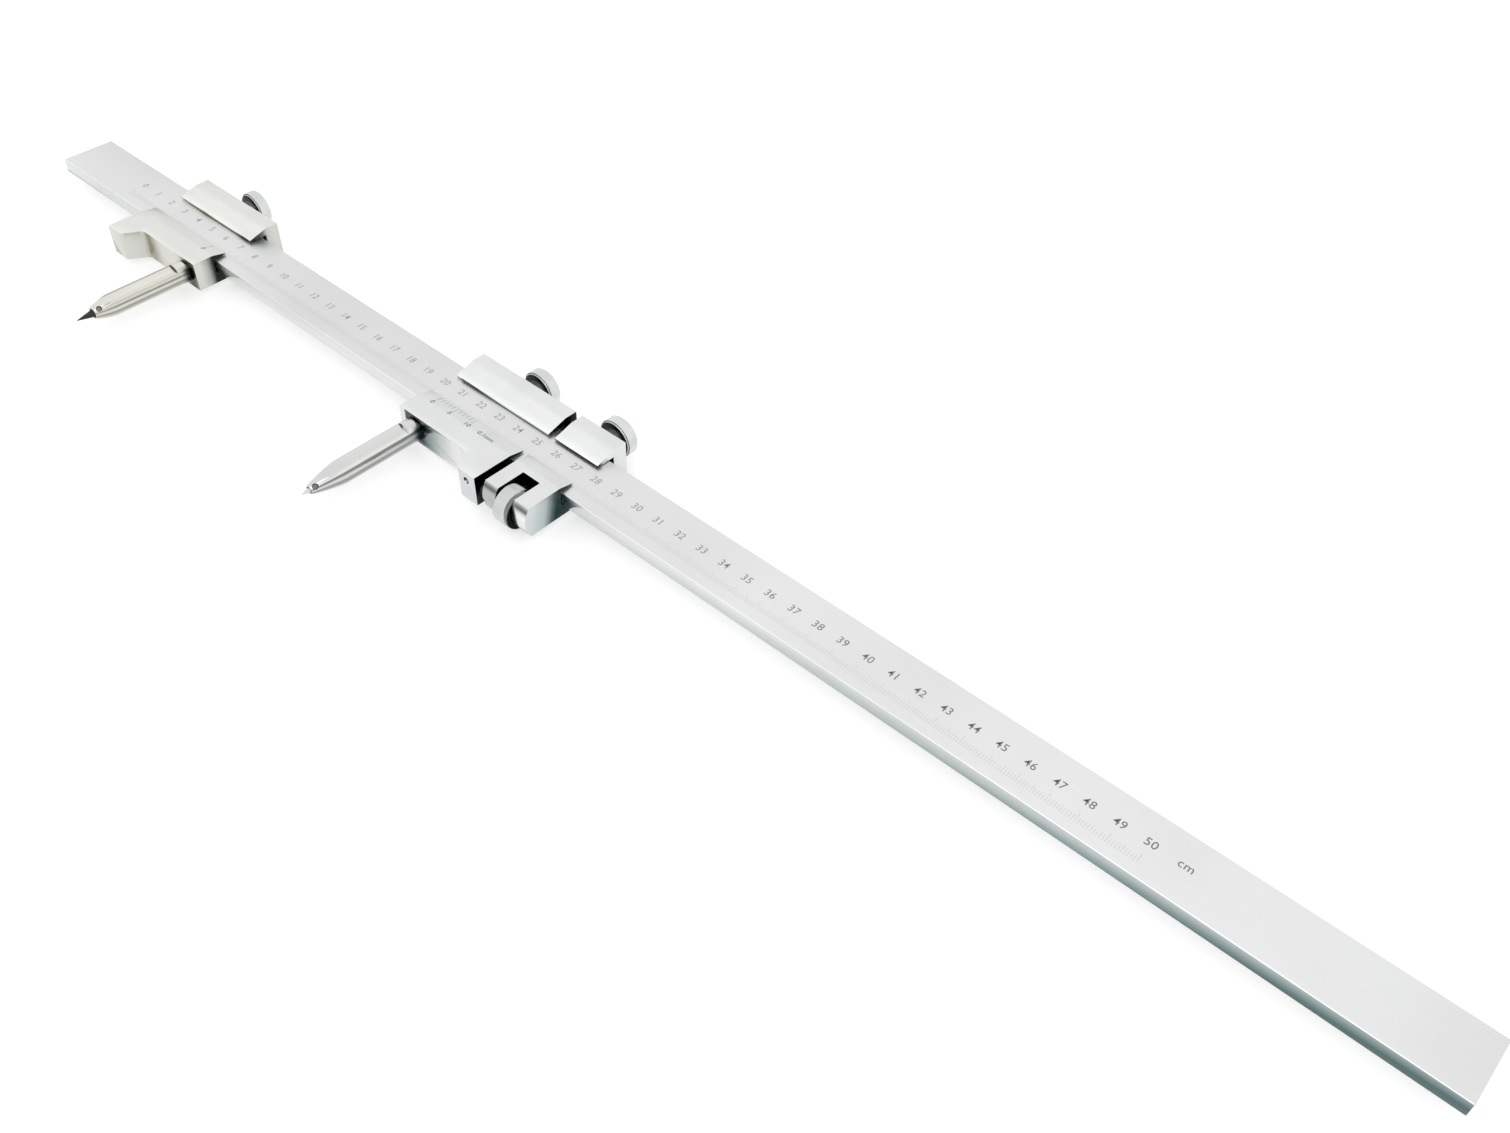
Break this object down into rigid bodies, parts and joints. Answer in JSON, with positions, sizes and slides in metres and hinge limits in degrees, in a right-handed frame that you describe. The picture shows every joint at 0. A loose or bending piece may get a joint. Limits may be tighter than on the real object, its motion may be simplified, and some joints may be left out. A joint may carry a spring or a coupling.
{
  "type": "adjustable compass",
  "caption": "Beam compass: flat graduated steel beam with two sliding scriber heads, vernier, clamp block with fine-adjustment nut, and knurled lock screws.",
  "frame": {"origin": "middle of the beam's left end face, the end before the scale's zero", "axes": "+X along the beam towards the high readings, +Y across the beam away from the scribers towards the lock screws, +Z out of the graduated face"},
  "size_m": [0.642, 0.0984, 0.0171],
  "materials": {
    "satin_chrome": "satin chromed steel, graduated face",
    "body_chrome": "satin chromed steel, milled and vapour blasted",
    "screw_chrome": "turned and knurled steel, satin chromed",
    "nut_chrome": "turned and knurled steel, satin chromed",
    "washer_chrome": "turned steel",
    "spring_steel": "blued spring steel strip",
    "holder_chrome": "turned steel, bright chromed",
    "needle_bright": "ground hardened steel",
    "needle_dark": "black oxidised hardened steel",
    "black_steel": "black oxidised steel"
  },
  "bodies": {
    "beam": {"beam": "satin_chrome"},
    "left_slider": {"left_slider_body": "body_chrome", "left_gib": "spring_steel", "left_scriber_holder": "holder_chrome", "left_scriber_needle": "needle_dark", "left_needle_set_screw": "black_steel"},
    "left_lock": {"left_lock_screw": "screw_chrome"},
    "fine_block": {"fine_block_body": "body_chrome", "fine_gib": "spring_steel", "fine_thrust_washer": "washer_chrome"},
    "fine_lock": {"fine_lock_screw": "screw_chrome"},
    "nut": {"fine_nut": "nut_chrome"},
    "vernier_slider": {"vernier_slider_body": "body_chrome", "vernier_gib": "spring_steel", "right_scriber_holder": "holder_chrome", "right_scriber_needle": "needle_bright", "right_needle_set_screw": "black_steel", "fine_screw": "screw_chrome", "fine_screw_pin": "black_steel"},
    "vernier_lock": {"vernier_lock_screw": "screw_chrome"}
  },
  "joints": [
    {"name": "left_slide", "type": "slide", "parent": "beam", "child": "left_slider", "axis": [1, 0, 0], "range_m": [-0.06, 0.06]},
    {"name": "left_lock_turn", "type": "hinge", "parent": "left_slider", "child": "left_lock", "pos_m": [0.0902, 0, 0], "axis": [0, 1, 0], "range_deg": [-5, 360]},
    {"name": "fine_block_slide", "type": "slide", "parent": "beam", "child": "fine_block", "axis": [1, 0, 0], "range_m": [-0.06, 0.3]},
    {"name": "fine_lock_turn", "type": "hinge", "parent": "fine_block", "child": "fine_lock", "pos_m": [0.3112, 0, 0], "axis": [0, 1, 0], "range_deg": [-5, 360]},
    {"name": "nut_turn", "type": "hinge", "parent": "fine_block", "child": "nut", "pos_m": [0.30885, -0.0233, -0.0024], "axis": [1, 0, 0], "range_deg": [-2161, 2161]},
    {"name": "fine_slide", "type": "slide", "parent": "fine_block", "child": "vernier_slider", "axis": [1, 0, 0], "range_m": [-0.003, 0.003]},
    {"name": "vernier_lock_turn", "type": "hinge", "parent": "vernier_slider", "child": "vernier_lock", "pos_m": [0.2708, 0, 0], "axis": [0, 1, 0], "range_deg": [-5, 360]}
  ],
  "couplings": [
    {"joint": "nut_turn", "follows": "fine_slide", "rad_per_m": 12566}
  ]
}
